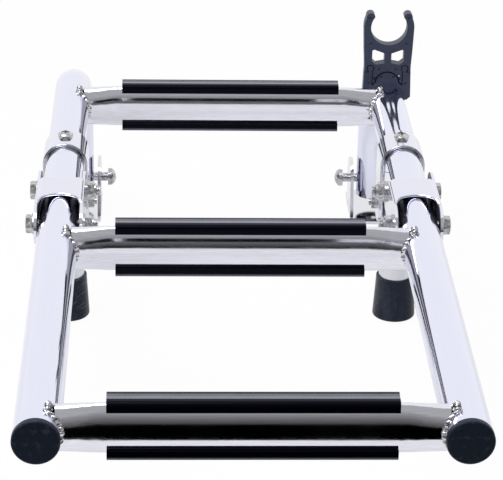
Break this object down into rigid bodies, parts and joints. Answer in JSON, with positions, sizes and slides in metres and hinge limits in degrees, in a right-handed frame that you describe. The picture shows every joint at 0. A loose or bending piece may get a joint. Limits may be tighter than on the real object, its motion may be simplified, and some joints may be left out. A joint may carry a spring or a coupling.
{
  "type": "folding boarding ladder",
  "caption": "Folding stainless tube boarding ladder: hinged rails, oval steps with plastic treads, transom brackets, rubber-footed standoffs and a rail clip.",
  "frame": {"origin": "middle of the left bracket's base face, on the transom plane under the left rail's leg", "axes": "+X across to the right rail, +Y up the ladder towards the brackets, +Z away from the transom"},
  "size_m": [0.352, 0.767, 0.2276],
  "materials": {
    "polished_steel": "polished stainless steel",
    "brushed_steel": "satin stainless steel",
    "fastener_steel": "bright stainless fasteners",
    "tread_plastic": "glossy extruded plastic",
    "clip_plastic": "moulded satin plastic",
    "cap_plastic": "moulded satin plastic",
    "foot_rubber": "matte moulded rubber"
  },
  "bodies": {
    "transom_brackets": {"bracket_left": "polished_steel", "bracket_right": "polished_steel", "leg_bolt_left": "fastener_steel", "leg_bolt_right": "fastener_steel"},
    "upper_section": {"upper_rail_left": "polished_steel", "upper_rail_right": "polished_steel", "upper_rung": "brushed_steel", "upper_tread": "tread_plastic", "standoff_strap_left": "polished_steel", "standoff_strap_right": "polished_steel", "strap_screw_left": "fastener_steel", "strap_screw_right": "fastener_steel", "standoff_left": "polished_steel", "standoff_right": "polished_steel", "standoff_bolt_left": "fastener_steel", "standoff_bolt_right": "fastener_steel", "foot_left": "foot_rubber", "foot_right": "foot_rubber", "upper_hinge_bolt_left": "fastener_steel", "upper_hinge_bolt_right": "fastener_steel", "rail_clip": "clip_plastic", "rail_clip_saddle": "clip_plastic"},
    "hinge_links": {"hinge_link_left": "polished_steel", "hinge_link_right": "polished_steel", "lower_hinge_bolt_left": "fastener_steel", "lower_hinge_bolt_right": "fastener_steel"},
    "lower_section": {"lower_rail_left": "polished_steel", "lower_rail_right": "polished_steel", "middle_rung": "brushed_steel", "middle_tread": "tread_plastic", "lower_rung": "brushed_steel", "lower_tread": "tread_plastic", "end_cap_left": "cap_plastic", "end_cap_right": "cap_plastic"}
  },
  "joints": [
    {"name": "transom_pivot", "type": "hinge", "parent": "transom_brackets", "child": "upper_section", "pos_m": [0, 0, 0.032], "axis": [-1, 0, 0], "range_deg": [0, 90]},
    {"name": "link_fold", "type": "hinge", "parent": "upper_section", "child": "hinge_links", "pos_m": [0, -0.306, 0.146], "axis": [-1, 0, 0], "range_deg": [0, 90]},
    {"name": "lower_fold", "type": "hinge", "parent": "hinge_links", "child": "lower_section", "pos_m": [0, -0.374, 0.146], "axis": [-1, 0, 0], "range_deg": [0, 90]}
  ]
}
